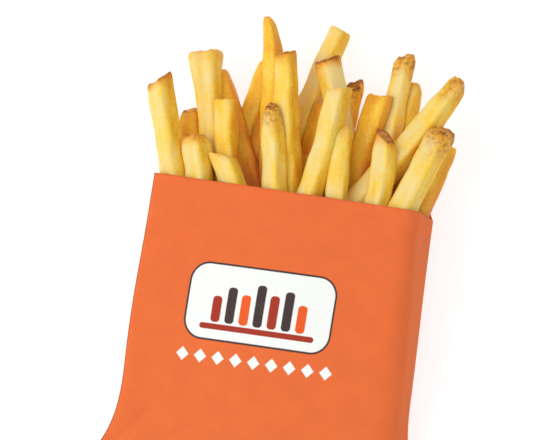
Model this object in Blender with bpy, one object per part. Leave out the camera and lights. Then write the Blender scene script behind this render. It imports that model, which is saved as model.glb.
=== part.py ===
# French fries in a printed paper pouch, lying on its back.
# Metres, +Z up. +X runs across the pouch, +Y from its bottom crease to its mouth.
# The origin is on the flat stretch of the back panel, which rests on the table.

import math
from collections import namedtuple

import bmesh
import bpy
from mathutils import Vector

MM = 0.001

# Driving sizes of the paper pouch. It is a tube of paper, sold flat, 4.6 in wide.
FLAT_WIDTH = 117.0 * MM        # width of the empty pouch, seen at the bottom corners
PANEL_LENGTH = 98.0 * MM       # from the bottom crease to the cut edge of the front panel
BACK_LIP = 5.5 * MM            # how far the back panel reaches past the front one
FILLED_DEPTH = 32.0 * MM       # thickness of the pouch when it is full
WALL = 0.5 * MM                # paper with its folds and glue laps
CREASE_DEPTH = 1.6 * MM        # all layers of paper at the folded bottom
CREASE_HEIGHT = 12.0 * MM      # height of the bottom crease over the table
FLATTENING = 35.0 * MM         # length over which the filled shape runs out flat
FRONT_SLOPE = 62.0 * MM        # length over which the front panel comes down to the crease
BELLY_START = 10.0 * MM        # from here below the rim the section turns into the lower one
BELLY_LENGTH = 55.0 * MM
LIP_START = 15.0 * MM          # the back panel's extra length starts this far below the rim
LIP_TURN_RIGHT = 5.0 * MM      # paper over which the cut edge climbs to the lip
LIP_TURN_LEFT = 10.0 * MM
LIP_DELAY_LEFT = 16.0 * MM     # paper behind the left crease before that climb starts
CUT_SKEW = 2.3 * MM            # the tube is cut out of square: lower on the right by this
CUT_PIVOT_X = -20.0 * MM       # where the slanting cut has the panel's full length

RIM_Y = 40.0 * MM              # front panel's cut edge in the part's frame
CREASE_Y = RIM_Y - PANEL_LENGTH

PANEL_STEPS = 22               # points across each panel
STATIONS = [0.0, 1.5, 3.5, 6.0, 9.0, 13.0, 18.0, 25.0, 34.0, 43.0, 52.0, 61.0, 70.0, 83.0, 90.0, 98.0]

# Cross-section of the full pouch: corners (x, z) and corner radii in millimetres.
# The paper tube's left crease is high, near the front panel, and its right one is low.
# It has one form at the mouth and another, with a softer right shoulder, further down.
Corner = namedtuple("Corner", "x z radius")
MOUTH_CORNERS = [
    Corner(-49.6, 29.8, 1.2),  # left crease
    Corner(-6.0, 32.0, 90.0),  # the front panel's soft crown
    Corner(44.0, 31.6, 6.5),   # right shoulder
    Corner(49.8, 12.5, 3.0),   # right crease
    Corner(41.0, 0.0, 12.0),   # back, where the panel meets the table
    Corner(-44.5, 0.0, 17.0),
]
BELLY_CORNERS = [
    Corner(-50.6, 29.8, 1.2),
    Corner(4.0, 32.0, 90.0),
    Corner(46.0, 29.0, 9.0),
    Corner(50.4, 12.5, 3.0),
    Corner(41.0, 0.0, 12.0),
    Corner(-44.5, 0.0, 17.0),
]
RIGHT_CREASE = 3               # its place in both lists
ARC_STEPS = 12

# The fries' common body inside the pouch, clear of the paper.
CORE_INSET = 1.5 * MM
CORE_START = 13.0 * MM         # above the bottom crease
CORE_END = 90.0 * MM           # 8 mm below the front rim
STICK_ROOT = 18.0 * MM         # each stick starts this far below the rim, in the core

# A stick has a square section with cut corners. Its end narrows over the last millimetres.
CORNER_SHARE = 0.18            # size of the cut corner as a share of the side
END_ROUND = 1.6 * MM
END_SHRINK = 0.84
TAPER_POWER = 4                # most of a change of width comes near the tip

# One row for each fry, in millimetres and degrees, from the front panel's cut edge:
# where its middle line crosses the edge, where its tip is, the width that it shows from
# the front there and at the tip, its turn about its own length, its sideways bow, how much
# further its right side reaches than its left one, and its underside than its top.
Fry = namedtuple("Fry", "rim_x rim_z tip_x reach tip_z across tip_across roll bow slant bevel")

FRONT_LAYER = [
    Fry(-43.2, 24.2, -53.7, 35.0, 25.0, 9.0, 10.2, 37, 0.0, 4.5, 3.0),
    Fry(-33.8, 24.6, -38.0, 16.5, 25.0, 10.4, 9.4, 28, 0.4, -1.0, 1.5),
    Fry(-21.5, 25.6, -26.7, 10.3, 25.5, 9.4, 9.6, 20, 0.0, -6.5, 1.0),
    Fry(-6.6, 26.0, -12.2, 30.0, 27.0, 8.8, 5.2, 35, 0.5, 0.0, 2.5),
    Fry(5.6, 26.0, 11.4, 38.5, 27.6, 9.2, 9.0, 30, 0.6, 3.0, 0.5),
    Fry(15.4, 26.0, 14.2, 25.5, 26.0, 8.2, 7.4, 12, -0.5, 2.5, 1.0),
    Fry(29.4, 25.8, 29.4, 24.4, 26.5, 9.0, 6.8, 33, 0.9, -4.5, 4.5),
    Fry(38.6, 25.4, 49.2, 28.5, 26.5, 10.0, 10.0, 22, 0.0, 0.5, 4.0),
]
SECOND_LAYER = [
    Fry(-24.6, 19.0, -29.2, 31.4, 21.0, 8.6, 8.6, 25, 0.0, 0.0, 1.0),
    Fry(-1.4, 19.5, -9.8, 50.4, 23.5, 9.4, 7.4, 30, -0.6, 1.5, 1.0),
    Fry(22.0, 19.0, 52.7, 48.0, 21.5, 10.6, 6.8, 28, 1.0, -1.5, 1.5),
    Fry(44.0, 14.0, 50.8, 25.5, 17.0, 8.2, 7.6, 42, 0.0, 0.0, 0.5),
    Fry(9.6, 18.5, 12.5, 20.0, 18.5, 8.2, 7.8, 35, 0.0, 1.0, 0.5),
    Fry(-36.5, 17.5, -40.5, 10.0, 17.5, 8.4, 8.0, 30, 0.0, 1.5, 0.5),
]
THIRD_LAYER = [
    Fry(-31.0, 12.8, -40.2, 49.0, 16.0, 8.6, 13.8, 14, 0.5, 0.5, 0.6),
    Fry(-9.6, 12.5, -19.2, 64.3, 18.0, 8.8, 3.0, 32, 1.5, 0.0, 0.5),
    Fry(22.6, 11.8, 4.3, 51.4, 17.0, 9.2, 9.6, -30, 0.0, 1.0, 2.0),
    Fry(18.9, 12.8, 25.3, 40.5, 16.5, 10.8, 9.4, 20, -0.4, 1.5, 0.8),
    Fry(27.6, 12.0, 31.8, 56.6, 13.5, 8.6, 7.0, 33, 0.4, 3.0, 3.0),
    Fry(35.0, 12.8, 39.8, 26.5, 13.5, 8.2, 8.0, 30, 0.0, 0.0, 1.5),
    Fry(-36.2, 11.5, -43.2, 27.5, 12.5, 8.4, 9.4, 22, 0.0, 0.0, 2.5),
    Fry(2.0, 12.0, 1.0, 16.0, 12.0, 8.6, 8.2, 25, 0.0, -1.0, 0.5),
]
BACK_LAYER = [
    Fry(-15.2, 10.0, -35.8, 43.7, 9.5, 9.8, 7.8, 12, 0.0, -1.0, 0.5),
    Fry(-26.0, 6.4, -17.6, 49.9, 8.0, 8.6, 7.0, 18, 0.0, 2.0, 0.5),
    Fry(-7.6, 6.6, 6.8, 64.4, 9.5, 9.2, 8.2, 30, -1.2, -1.5, 0.5),
    Fry(9.4, 6.4, 14.9, 46.0, 9.5, 8.6, 6.8, 35, 0.0, 3.5, 2.0),
    Fry(31.0, 6.4, 36.0, 48.4, 8.5, 8.8, 6.8, 24, 0.0, 0.5, 0.5),
    Fry(-34.6, 6.3, -36.0, 20.0, 6.8, 8.4, 8.0, 20, 0.0, 1.0, 0.5),
    Fry(21.4, 6.3, 22.0, 26.0, 7.0, 8.6, 8.0, 15, 0.0, 0.0, 0.5),
    Fry(38.6, 7.2, 42.0, 20.0, 7.5, 7.8, 7.4, 30, 0.0, 0.0, 0.5),
    Fry(1.4, 8.6, 3.9, 36.0, 10.0, 8.8, 8.2, 25, 0.0, 0.0, 0.5),
    Fry(-17.2, 6.8, -17.6, 26.5, 7.4, 8.6, 8.2, 20, 0.0, 0.0, 0.5),
]
LAYERS = {"front": FRONT_LAYER, "second": SECOND_LAYER, "third": THIRD_LAYER, "back": BACK_LAYER}


def srgb(hex_colour):
    """Linear colour with alpha from a web colour such as "#ee7744"."""
    parts = [int(hex_colour[i:i + 2], 16) / 255 for i in (1, 3, 5)]
    linear = [p / 12.92 if p <= 0.04045 else ((p + 0.055) / 1.055) ** 2.4 for p in parts]
    return (*linear, 1.0)


def material(name, colour, roughness):
    made = bpy.data.materials.new(name)
    made.use_nodes = True
    shader = made.node_tree.nodes["Principled BSDF"]
    shader.inputs["Base Color"].default_value = srgb(colour)
    shader.inputs["Roughness"].default_value = roughness
    shader.inputs["Metallic"].default_value = 0.0
    return made


def corner_arc(before, corner, after):
    """Points of the round at one corner, going from the side before it to the one after."""
    here = Vector((corner.x, corner.z))
    towards_before = (Vector((before.x, before.z)) - here).normalized()
    towards_after = (Vector((after.x, after.z)) - here).normalized()
    half_angle = towards_before.angle(towards_after) / 2
    bisector = (towards_before + towards_after).normalized()
    centre = here + bisector * (corner.radius / math.sin(half_angle))
    first = here + towards_before * (corner.radius / math.tan(half_angle))
    last = here + towards_after * (corner.radius / math.tan(half_angle))
    sweep = (first - centre).angle_signed(last - centre)
    spoke = first - centre
    points = []
    for step in range(ARC_STEPS + 1):
        turn = -sweep * step / ARC_STEPS
        points.append(centre + Vector((
            spoke.x * math.cos(turn) - spoke.y * math.sin(turn),
            spoke.x * math.sin(turn) + spoke.y * math.cos(turn),
        )))
    return points


def resample(line, steps):
    """Points at equal distances along a line of points, both ends included."""
    lengths = [0.0]
    for a, b in zip(line, line[1:]):
        lengths.append(lengths[-1] + (b - a).length)
    points = []
    for step in range(steps + 1):
        goal = lengths[-1] * step / steps
        i = next(k for k in range(1, len(line)) if lengths[k] >= goal - 1e-9)
        share = (goal - lengths[i - 1]) / (lengths[i] - lengths[i - 1])
        points.append(line[i - 1].lerp(line[i], share))
    return points


def full_section(corners):
    """A cross-section of the full pouch in metres: the front panel's points from the left
    crease to the right one, then the back panel's from the left crease to the right one."""
    count = len(corners)
    arcs = [
        corner_arc(corners[i - 1], corners[i], corners[(i + 1) % count])
        for i in range(count)
    ]
    half = ARC_STEPS // 2
    front_line = arcs[0][half:]
    for arc in arcs[1:RIGHT_CREASE]:
        front_line += arc
    front_line += arcs[RIGHT_CREASE][:half + 1]
    back_line = arcs[RIGHT_CREASE][half:]
    for arc in arcs[RIGHT_CREASE + 1:]:
        back_line += arc
    back_line += arcs[0][:half + 1]
    back_line.reverse()
    front = [p * MM for p in resample(front_line, PANEL_STEPS)]
    back = [p * MM for p in resample(back_line, PANEL_STEPS)]
    return front, back


MOUTH_SECTION = full_section(MOUTH_CORNERS)
BELLY_SECTION = full_section(BELLY_CORNERS)


def outer_ring(above_crease):
    """The pouch's outside at one distance above the bottom crease, as (x, z) points
    round the tube. Towards the crease the filled shape runs out into the flat tube."""
    flat = max(0.0, 1.0 - above_crease / FLATTENING) ** 3
    sloped = max(0.0, 1.0 - above_crease / FRONT_SLOPE) ** 1.6
    low = CREASE_HEIGHT * (1.0 - (1.0 - flat) ** 0.72)
    high = CREASE_HEIGHT + (FILLED_DEPTH - CREASE_HEIGHT) * (1.0 - sloped) ** 0.72
    squeeze = (high - low) / FILLED_DEPTH
    below = (PANEL_LENGTH - above_crease - BELLY_START) / BELLY_LENGTH
    held = min(1.0, max(0.0, below))
    belly = held * held * (3.0 - 2.0 * held)

    def place(point, step, side):
        share = step / PANEL_STEPS
        flat_x = (share - 0.5) * FLAT_WIDTH
        edge = min(1.0, 4.0 * min(share, 1.0 - share))
        flat_z = side * CREASE_DEPTH / 2 * edge
        x = point.x * (1.0 - flat) + flat_x * flat
        z = low + point.y * squeeze + flat_z * flat
        return Vector((x, z))

    mixed = [
        [a.lerp(b, belly) for a, b in zip(mouth_line, belly_line)]
        for mouth_line, belly_line in zip(MOUTH_SECTION, BELLY_SECTION)
    ]
    front = [place(p, i, 1) for i, p in enumerate(mixed[0])]
    back = [place(p, i, -1) for i, p in enumerate(mixed[1])]
    return front + back[-2:0:-1]


def inset_ring(ring, inset):
    """The ring moved inwards, square to its own outline."""
    moved = []
    count = len(ring)
    for i, point in enumerate(ring):
        along = (ring[(i + 1) % count] - ring[i - 1]).normalized()
        inward = Vector((along.y, -along.x))
        moved.append(point + inward * inset)
    return moved


def lip_share(index):
    """How much of the back panel's extra length this point of the ring has, 0 to 1."""
    step = FLAT_WIDTH / PANEL_STEPS
    behind_right = (index - PANEL_STEPS) * step
    behind_left = (2 * PANEL_STEPS - index) * step
    climb_right = behind_right / LIP_TURN_RIGHT
    climb_left = (behind_left - LIP_DELAY_LEFT) / LIP_TURN_LEFT
    return min(1.0, max(0.0, min(climb_right, climb_left)))


def ring_in_space(above_crease, inset, with_lip):
    ring = outer_ring(above_crease)
    if inset:
        ring = inset_ring(ring, inset)
    below_rim = PANEL_LENGTH - above_crease
    near_rim = max(0.0, 1.0 - below_rim / LIP_START) if with_lip else 0.0
    points = []
    for i, p in enumerate(ring):
        lip = BACK_LIP * lip_share(i)
        drop = CUT_SKEW * (p.x - CUT_PIVOT_X) / FLAT_WIDTH
        points.append(Vector((p.x, CREASE_Y + above_crease + (lip - drop) * near_rim, p.y)))
    return points


def add_ring(mesh, points):
    return [mesh.verts.new(p) for p in points]


def bridge(mesh, ring_a, ring_b):
    count = len(ring_a)
    for i in range(count):
        j = (i + 1) % count
        mesh.faces.new((ring_a[i], ring_a[j], ring_b[j], ring_b[i]))


def close_flat(mesh, ring):
    """Closes a flattened ring with a strip between its front and its back."""
    count = len(ring)
    for i in range(PANEL_STEPS):
        front_a = ring[i]
        front_b = ring[i + 1]
        back_a = ring[(count - i) % count]
        back_b = ring[count - i - 1]
        corners = [front_a, front_b, back_b, back_a]
        different = [v for k, v in enumerate(corners) if v is not corners[k - 1]]
        mesh.faces.new(different)


def finish(mesh, name, surface, sharp_degrees):
    bmesh.ops.recalc_face_normals(mesh, faces=mesh.faces)
    data = bpy.data.meshes.new(name)
    mesh.to_mesh(data)
    mesh.free()
    data.shade_smooth()
    data.set_sharp_from_angle(angle=math.radians(sharp_degrees))
    data.materials.append(surface)
    made = bpy.data.objects.new(name, data)
    bpy.context.scene.collection.objects.link(made)
    return made


def paper_pouch():
    """An open paper tube with its bottom folded shut, as an outer and an inner skin."""
    mesh = bmesh.new()
    outer = [add_ring(mesh, ring_in_space(s * MM, 0.0, True)) for s in STATIONS]
    inner = [add_ring(mesh, ring_in_space(s * MM, WALL, True)) for s in STATIONS[1:]]
    for skin in (outer, inner):
        for ring_a, ring_b in zip(skin, skin[1:]):
            bridge(mesh, ring_a, ring_b)
        close_flat(mesh, skin[0])
    bridge(mesh, outer[-1], inner[-1])
    return finish(mesh, "pouch", material("orange_paper", "#ee7742", 0.7), 50)


def fry_core(surface):
    """The fries' packed body inside the pouch."""
    mesh = bmesh.new()
    heights = [s * MM for s in STATIONS if CORE_START <= s * MM <= CORE_END]
    rings = [add_ring(mesh, ring_in_space(h, CORE_INSET, False)) for h in heights]
    for ring_a, ring_b in zip(rings, rings[1:]):
        bridge(mesh, ring_a, ring_b)
    mesh.faces.new(rings[0])
    mesh.faces.new(rings[-1])
    return finish(mesh, "fries", surface, 40)


def side_length(across, roll):
    """Side of the stick's square section that shows the given width at this turn."""
    turn = math.radians(abs(roll))
    inner = 0.5 - CORNER_SHARE
    return across / 2 / (0.5 * math.cos(turn) + inner * math.sin(turn))


def stick_section(side):
    """A square with cut corners, as (sideways, upwards) points."""
    half = side / 2
    cut = half - CORNER_SHARE * side
    quarter = [(half, -cut), (half, cut)]
    points = []
    for _ in range(4):
        points += quarter
        quarter = [(-b, a) for a, b in quarter]
    return points


def stick(fry, name, surface):
    """One fry, from inside the core to its cut tip."""
    rim = Vector((fry.rim_x * MM, RIM_Y, fry.rim_z * MM))
    tip = Vector((fry.tip_x * MM, RIM_Y + fry.reach * MM, fry.tip_z * MM))
    length = (tip - rim).length
    along = (tip - rim).normalized()
    sideways = along.cross(Vector((0, 0, 1))).normalized()
    upwards = sideways.cross(along)
    turn = math.radians(fry.roll)
    end_share = 1.0 - END_ROUND / length
    mesh = bmesh.new()
    rings = []
    for share in (-STICK_ROOT / length, 0.0, 0.35, 0.7, 0.86, end_share, 1.0):
        above_rim = max(0.0, share)
        across = (fry.across + (fry.tip_across - fry.across) * above_rim ** TAPER_POWER) * MM
        side = side_length(across, fry.roll) * (END_SHRINK if share == 1.0 else 1.0)
        bow = fry.bow * MM * 4 * above_rim * (1 - above_rim)
        middle = rim + along * (length * share) + sideways * bow
        ring = []
        for a, b in stick_section(side):
            across_part = a * math.cos(turn) - b * math.sin(turn)
            up_part = a * math.sin(turn) + b * math.cos(turn)
            shift = 0.0
            if share > 0.9:
                shift = (fry.slant * across_part - fry.bevel * up_part) * MM / across
            ring.append(middle + sideways * across_part + upwards * up_part + along * shift)
        rings.append(add_ring(mesh, ring))
    for ring_a, ring_b in zip(rings, rings[1:]):
        bridge(mesh, ring_a, ring_b)
    mesh.faces.new(rings[0])
    mesh.faces.new(rings[-1])
    return finish(mesh, name, surface, 40)


def keep_largest_body(data):
    """Drops loose scraps and fills hollows that the joining sealed."""
    mesh = bmesh.new()
    mesh.from_mesh(data)
    left = set(mesh.verts)
    bodies = []
    while left:
        seed = left.pop()
        body = {seed}
        edge_of_body = [seed]
        while edge_of_body:
            vertex = edge_of_body.pop()
            for edge in vertex.link_edges:
                other = edge.other_vert(vertex)
                if other not in body:
                    body.add(other)
                    edge_of_body.append(other)
        left -= body
        bodies.append(body)
    largest = max(bodies, key=len)
    scraps = [v for body in bodies if body is not largest for v in body]
    bmesh.ops.delete(mesh, geom=scraps, context="VERTS")
    mesh.to_mesh(data)
    mesh.free()


def heap_of_fries():
    """All fries as one body: the packed core with each stick that shows joined on."""
    surface = material("fried_potato", "#edbf4e", 0.6)
    core = fry_core(surface)
    sticks = bpy.data.collections.new("sticks")
    bpy.context.scene.collection.children.link(sticks)
    for layer, fries in LAYERS.items():
        for number, fry in enumerate(fries, start=1):
            made = stick(fry, f"{layer}_stick_{number}", surface)
            bpy.context.scene.collection.objects.unlink(made)
            sticks.objects.link(made)
    joining = core.modifiers.new("joined sticks", "BOOLEAN")
    joining.operation = "UNION"
    joining.operand_type = "COLLECTION"
    joining.collection = sticks
    joining.solver = "MANIFOLD"
    seen = core.evaluated_get(bpy.context.evaluated_depsgraph_get())
    joined = bpy.data.meshes.new_from_object(seen)
    core.modifiers.remove(joining)
    core.data = joined
    for made in list(sticks.objects):
        bpy.data.objects.remove(made, do_unlink=True)
    bpy.data.collections.remove(sticks)
    keep_largest_body(core.data)
    return core


def build():
    for old in list(bpy.data.objects):
        bpy.data.objects.remove(old, do_unlink=True)
    paper_pouch()
    heap_of_fries()


build()
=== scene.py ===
# %% [markdown]
# # French fries in a printed paper pouch
# The object is a takeaway portion of fries. A flat paper pouch was pulled open and filled, and
# it lies on its back on a table, with the fries fanned out of its mouth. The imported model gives
# the true sizes: two solids, the pouch and the heap of fries, which have the main shapes but no
# surface. This file builds the paper and every fry again in Blender, in the same place, and
# gives them their finish. All places are in metres, and small sizes are written as millimetres.

import math
from collections import namedtuple

import bmesh
import bpy
from mathutils import Matrix, Vector, noise


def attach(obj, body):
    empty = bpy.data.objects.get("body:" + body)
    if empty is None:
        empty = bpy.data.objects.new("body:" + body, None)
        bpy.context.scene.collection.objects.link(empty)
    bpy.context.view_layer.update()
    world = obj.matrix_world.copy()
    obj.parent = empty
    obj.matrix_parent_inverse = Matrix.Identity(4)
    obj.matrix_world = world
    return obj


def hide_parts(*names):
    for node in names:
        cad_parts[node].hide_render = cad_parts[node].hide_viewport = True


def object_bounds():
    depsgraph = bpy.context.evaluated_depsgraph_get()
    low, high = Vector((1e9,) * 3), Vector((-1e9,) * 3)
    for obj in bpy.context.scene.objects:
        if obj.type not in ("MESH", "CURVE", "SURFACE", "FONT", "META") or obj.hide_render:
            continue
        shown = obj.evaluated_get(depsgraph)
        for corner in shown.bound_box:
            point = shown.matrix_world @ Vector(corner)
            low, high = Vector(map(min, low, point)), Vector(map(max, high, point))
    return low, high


MM = 0.001
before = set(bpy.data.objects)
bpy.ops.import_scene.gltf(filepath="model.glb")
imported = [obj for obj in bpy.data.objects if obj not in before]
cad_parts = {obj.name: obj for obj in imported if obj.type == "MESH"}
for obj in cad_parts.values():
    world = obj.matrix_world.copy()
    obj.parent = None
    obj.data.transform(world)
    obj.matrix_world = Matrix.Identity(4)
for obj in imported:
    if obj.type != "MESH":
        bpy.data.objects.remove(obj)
cad_low, cad_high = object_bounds()
print("CAD box in mm:", [round(v / MM, 1) for v in (*cad_low, *cad_high)])

# %% [markdown]
# ## Helpers
# Web colours are written as they look on a screen, and Blender wants linear light, so one
# function turns them. One more adds any shader node, with its settings and its links, and a
# third makes a finished mesh an object that stays at the origin. A Map Range node is used often:
# its inputs 0 to 4 are the value, the lowest and highest it takes, and what those two become.

# %% Colours, nodes and objects
# The colour sockets of Blender's Mix node, which has one pair for each kind of value.
MIX_A, MIX_B, MIX_RESULT = 6, 7, 2


def srgb(hex_colour):
    """Linear colour with alpha from a web colour such as "#ee7744"."""
    parts = [int(hex_colour[i:i + 2], 16) / 255 for i in (1, 3, 5)]
    linear = [p / 12.92 if p <= 0.04045 else ((p + 0.055) / 1.055) ** 2.4 for p in parts]
    return (*linear, 1.0)


def add_node(tree, kind, sockets=None, **settings):
    """One shader node. Sockets gives each input a value or another node's output."""
    made = tree.nodes.new("ShaderNode" + kind)
    for name, value in settings.items():
        setattr(made, name, value)
    for key, value in (sockets or {}).items():
        if isinstance(value, bpy.types.NodeSocket):
            tree.links.new(value, made.inputs[key])
        else:
            made.inputs[key].default_value = value
    return made


def new_material(name):
    made = bpy.data.materials.new(name)
    made.use_nodes = True
    return made, made.node_tree, made.node_tree.nodes["Principled BSDF"]


def finish_piece(mesh, name, *surfaces):
    """Turns a bmesh into a smooth object at the origin with these materials."""
    data = bpy.data.meshes.new(name)
    mesh.to_mesh(data)
    mesh.free()
    data.shade_smooth()
    for surface in surfaces:
        data.materials.append(surface)
    made = bpy.data.objects.new(name, data)
    bpy.context.scene.collection.objects.link(made)
    print(f"{name}: {len(data.polygons)} faces")
    return made


def smooth_step(value):
    """0 below 0, 1 above 1, and a smooth rise between them."""
    held = min(1.0, max(0.0, value))
    return held * held * (3.0 - 2.0 * held)


# %% [markdown]
# ## Camera
# The picture was taken from almost straight above, a little from the pouch's bottom and right
# side. The pouch lies turned in it. A long lens 0.53 m away gives the picture's mild
# perspective. The camera is set from one known point, the middle of the front panel's cut edge,
# and from its place in a picture of 550 by 440 pixels.

# %% Camera
PICTURE_SIZE = (550, 440)
PIXELS_PER_MM = 2.89           # at the height of the front panel
RIM_PIXEL = (294, 191)         # where the middle of the front rim is seen
RIM_POINT = Vector((0.001, 0.040, 0.032))
VIEW_ELEVATION = math.radians(80.0)
VIEW_AZIMUTH = math.radians(45.0)     # from the side of the bottom crease towards +X
POUCH_TURN = math.radians(8.4)        # clockwise turn of the pouch in the picture
LENS = 100.0 * MM
SENSOR = 36.0 * MM

towards_camera = Vector((
    math.sin(VIEW_AZIMUTH) * math.cos(VIEW_ELEVATION),
    -math.cos(VIEW_AZIMUTH) * math.cos(VIEW_ELEVATION),
    math.sin(VIEW_ELEVATION),
))
level_up = (Vector((0, 1, 0)) - towards_camera * towards_camera.y).normalized()
level_right = level_up.cross(towards_camera)
picture_right = level_right * math.cos(POUCH_TURN) + level_up * math.sin(POUCH_TURN)
picture_up = level_up * math.cos(POUCH_TURN) - level_right * math.sin(POUCH_TURN)
distance = LENS * PICTURE_SIZE[0] / (SENSOR * PIXELS_PER_MM) * MM
right_of_rim = (PICTURE_SIZE[0] / 2 - RIM_PIXEL[0]) / PIXELS_PER_MM * MM
above_rim = (RIM_PIXEL[1] - PICTURE_SIZE[1] / 2) / PIXELS_PER_MM * MM
looked_at = RIM_POINT + picture_right * right_of_rim + picture_up * above_rim

camera_data = bpy.data.cameras.new("camera")
camera_data.lens = LENS / MM
camera_data.sensor_width = SENSOR / MM
camera_data.sensor_fit = "HORIZONTAL"
camera = bpy.data.objects.new("camera", camera_data)
turned = Matrix((picture_right, picture_up, towards_camera)).transposed().to_4x4()
camera.matrix_world = Matrix.Translation(looked_at + towards_camera * distance) @ turned
bpy.context.scene.collection.objects.link(camera)
bpy.context.scene.camera = camera
print(f"camera {distance:.3f} m away, looking at {[round(v, 4) for v in looked_at]}")

# %% [markdown]
# ## Light and floor
# Food on a white ground is often shot on a light table: one large soft box from the upper
# left, much white bounce from all round, and a little light through the white table itself, so
# shadows stay pale and the ground turns white. Here one area light is the soft box and a weak
# one opens the shaded sides. The world gives the bounce, brighter from the upper left and
# dimmer from the right, and the floor glows a bit.

# %% Light and floor
FLOOR_SIDE = 3.0
TABLE_GLOW = 0.74              # light that comes up through the white table
SKY_BRIGHT = 0.98              # towards the upper left
SKY_DIM = 0.36                 # on the other side, down to the horizon
SKY_DIRECTION = (-0.42, 0.05, 0.90)
SKY_DIMMEST_AT = -0.4          # cosine of the angle to it from which the sky is dimmest
AreaLight = namedtuple("AreaLight", "name direction distance side power")
LIGHTS = [
    AreaLight("soft_box", (-0.58, -0.22, 0.82), 1.1, 0.50, 3.7),
    AreaLight("fill", (0.45, -0.35, 0.85), 1.2, 0.80, 0.8),
]

world = bpy.data.worlds.new("white_studio")
world.use_nodes = True
bpy.context.scene.world = world
sky = world.node_tree.nodes["Background"]
sky.inputs["Color"].default_value = srgb("#ffffff")
seen = add_node(world.node_tree, "TexCoord").outputs["Generated"]
toward = {0: seen, 1: SKY_DIRECTION}
facing = add_node(world.node_tree, "VectorMath", toward, operation="DOT_PRODUCT")
bounce = {0: facing.outputs["Value"], 1: SKY_DIMMEST_AT, 2: 1.0, 3: SKY_DIM, 4: SKY_BRIGHT}
strength = add_node(world.node_tree, "MapRange", bounce)
world.node_tree.links.new(strength.outputs[0], sky.inputs["Strength"])
bpy.context.scene.view_settings.view_transform = "Standard"

for light in LIGHTS:
    lamp = bpy.data.lights.new(light.name, "AREA")
    lamp.shape = "SQUARE"
    lamp.size = light.side
    lamp.energy = light.power
    direction = Vector(light.direction).normalized()
    holder = bpy.data.objects.new(light.name, lamp)
    aim = direction.to_track_quat("Z", "Y").to_matrix().to_4x4()
    holder.matrix_world = Matrix.Translation(RIM_POINT + direction * light.distance) @ aim
    bpy.context.scene.collection.objects.link(holder)

floor_surface, _, shader = new_material("white_light_table_acrylic")
shader.inputs["Base Color"].default_value = srgb("#9c9c9c")
shader.inputs["Roughness"].default_value = 0.9
shader.inputs["Emission Color"].default_value = srgb("#ffffff")
shader.inputs["Emission Strength"].default_value = TABLE_GLOW
mesh = bmesh.new()
bmesh.ops.create_grid(mesh, x_segments=1, y_segments=1, size=FLOOR_SIDE / 2)
floor = finish_piece(mesh, "floor", floor_surface)

# %% [markdown]
# ## The pouch's form
# A pouch like this is a paper tube, sold flat, whose bottom is folded over and glued. Filled
# and laid down, its cross-section has a sharp crease high on the left, a wide front, a rounded
# shoulder down to the second crease on the right, and a flat back. Below the mouth the paper
# bellies out a little and the shoulder is softer, so there are two sections, and the form goes
# over from one to the other. Towards the bottom the front panel slopes down and the section
# runs out into the flat tube. The mouth is cut a little out of square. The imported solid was
# made by the same rule, so the numbers here are the ones of the solid.
#
# The section could be drawn as a curve and lofted. A rule that says where each point of the
# flat paper goes is better here, because the print and the fibres then follow the paper.

# %% The cross-section of the full pouch
FLAT_WIDTH = 117.0 * MM        # width of the empty pouch
PANEL_LENGTH = 98.0 * MM       # from the bottom crease to the cut edge of the front panel
BACK_LIP = 5.5 * MM            # how far the back panel reaches past the front one
FILLED_DEPTH = 32.0 * MM
CREASE_HEIGHT = 12.0 * MM      # height of the bottom crease over the table
FLATTENING = 35.0 * MM         # length over which the filled shape runs out flat
FRONT_SLOPE = 62.0 * MM        # length over which the front panel comes down to the crease
BELLY_START = 10.0 * MM        # from here below the rim the section turns into the lower one
BELLY_LENGTH = 55.0 * MM       # and this is the length over which it turns
LIP_START = 15.0 * MM          # from here below the rim the paper stretches out to the lip
LIP_TURN_RIGHT = 5.0 * MM      # paper over which the edge climbs to the lip, on the right
LIP_TURN_LEFT = 10.0 * MM
LIP_DELAY_LEFT = 16.0 * MM     # on the left the climb starts this far past the crease
CUT_SKEW = 2.3 * MM            # the mouth is cut out of square: lower on the right by this
CUT_PIVOT_X = -20.0 * MM       # where the skewed cut keeps its height
RIM_Y = 40.0 * MM
CREASE_Y = RIM_Y - PANEL_LENGTH
PANEL_CELLS = 104              # cells of paper across each panel, a little over 1 mm each

# Corners of the section (x, z) and their radii in millimetres.
Corner = namedtuple("Corner", "x z radius")
MOUTH_CORNERS = [
    Corner(-49.6, 29.8, 1.2),  # left crease
    Corner(-6.0, 32.0, 90.0),  # the front panel's soft crown
    Corner(44.0, 31.6, 6.5),   # right shoulder
    Corner(49.8, 12.5, 3.0),   # right crease
    Corner(41.0, 0.0, 12.0),   # back, where the panel meets the table
    Corner(-44.5, 0.0, 17.0),  # back, on its way up to the left crease
]
BELLY_CORNERS = [
    Corner(-50.6, 29.8, 1.2),
    Corner(4.0, 32.0, 90.0),
    Corner(46.0, 29.0, 9.0),
    Corner(50.4, 12.5, 3.0),
    Corner(41.0, 0.0, 12.0),
    Corner(-44.5, 0.0, 17.0),
]
RIGHT_CREASE = 3               # its place in both lists
ARC_STEPS = 12


def corner_arc(before, corner, after):
    """Points of the round at one corner, from the side before it to the side after it."""
    here = Vector((corner.x, corner.z))
    towards_before = (Vector((before.x, before.z)) - here).normalized()
    towards_after = (Vector((after.x, after.z)) - here).normalized()
    half_angle = towards_before.angle(towards_after) / 2
    bisector = (towards_before + towards_after).normalized()
    centre = here + bisector * (corner.radius / math.sin(half_angle))
    first = here + towards_before * (corner.radius / math.tan(half_angle))
    last = here + towards_after * (corner.radius / math.tan(half_angle))
    sweep = (first - centre).angle_signed(last - centre)
    turns = [Matrix.Rotation(-sweep * i / ARC_STEPS, 2) for i in range(ARC_STEPS + 1)]
    return [centre + turn @ (first - centre) for turn in turns]


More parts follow.
